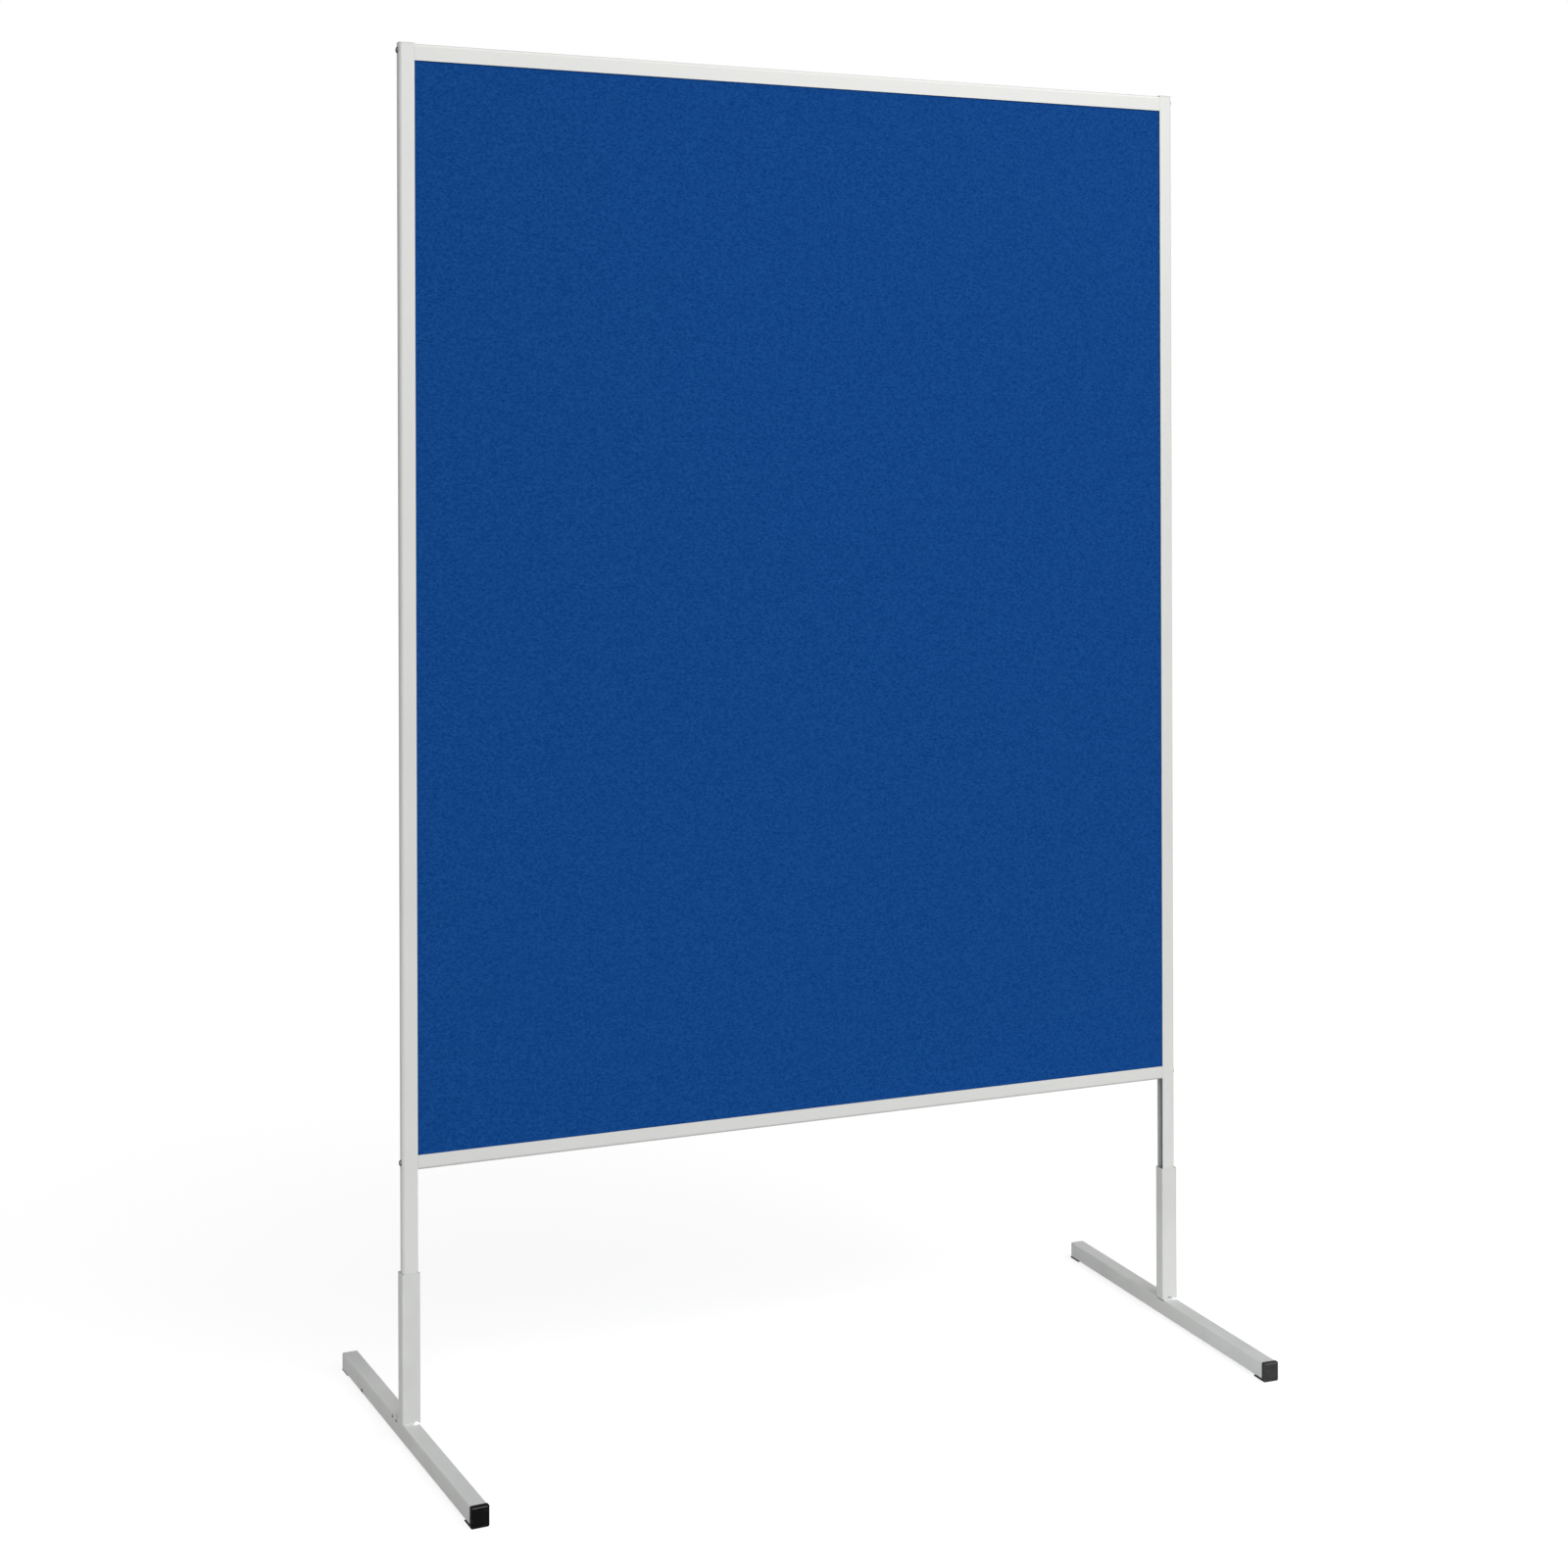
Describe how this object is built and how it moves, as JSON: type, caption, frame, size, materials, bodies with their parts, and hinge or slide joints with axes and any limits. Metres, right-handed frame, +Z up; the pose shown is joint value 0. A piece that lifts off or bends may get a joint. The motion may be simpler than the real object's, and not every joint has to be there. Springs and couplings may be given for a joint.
{
  "type": "free-standing pinboard",
  "caption": "Free-standing pinboard: a felt-faced panel in a slim metal frame whose legs plug into T-shaped feet.",
  "frame": {"origin": "on the floor, under the middle of the board", "axes": "+X along the board, to the right as seen from the front, -Y out of the front felt, +Z up"},
  "size_m": [1.2256, 0.5914, 1.8643],
  "materials": {
    "frame": "satin silver-grey",
    "coat": "light grey powder coat",
    "felt": "matted royal blue felt",
    "core": "bare soft fibre board",
    "cap": "light grey",
    "black": "black, fine-grained",
    "steel": "zinc plated"
  },
  "bodies": {
    "board": {"left_stile": "frame", "right_stile": "frame", "top_rail": "frame", "bottom_rail": "frame", "board_core": "core", "front_felt": "felt", "rear_felt": "felt", "left_stile_cap": "cap", "right_stile_cap": "cap", "top_left_screw": "steel", "bottom_left_screw": "steel", "top_right_screw": "steel", "bottom_right_screw": "steel"},
    "left_foot": {"left_sleeve": "coat", "left_crossbar": "coat", "left_front_weld": "coat", "left_rear_weld": "coat", "left_front_foot_screw": "steel", "left_rear_foot_screw": "steel", "left_front_cap": "black", "left_rear_cap": "black"},
    "right_foot": {"right_sleeve": "coat", "right_crossbar": "coat", "right_front_weld": "coat", "right_rear_weld": "coat", "right_front_foot_screw": "steel", "right_rear_foot_screw": "steel", "right_front_cap": "black", "right_rear_cap": "black"}
  },
  "joints": [
    {"name": "board_lift", "type": "slide", "parent": "left_foot", "child": "board", "axis": [0, 0, 1], "range_m": [0, 0.2001]},
    {"name": "right_foot_pull", "type": "slide", "parent": "board", "child": "right_foot", "axis": [0, 0, 1], "range_m": [-0.2001, 0]}
  ],
  "couplings": [
    {"joint": "right_foot_pull", "follows": "board_lift", "ratio": -1}
  ]
}
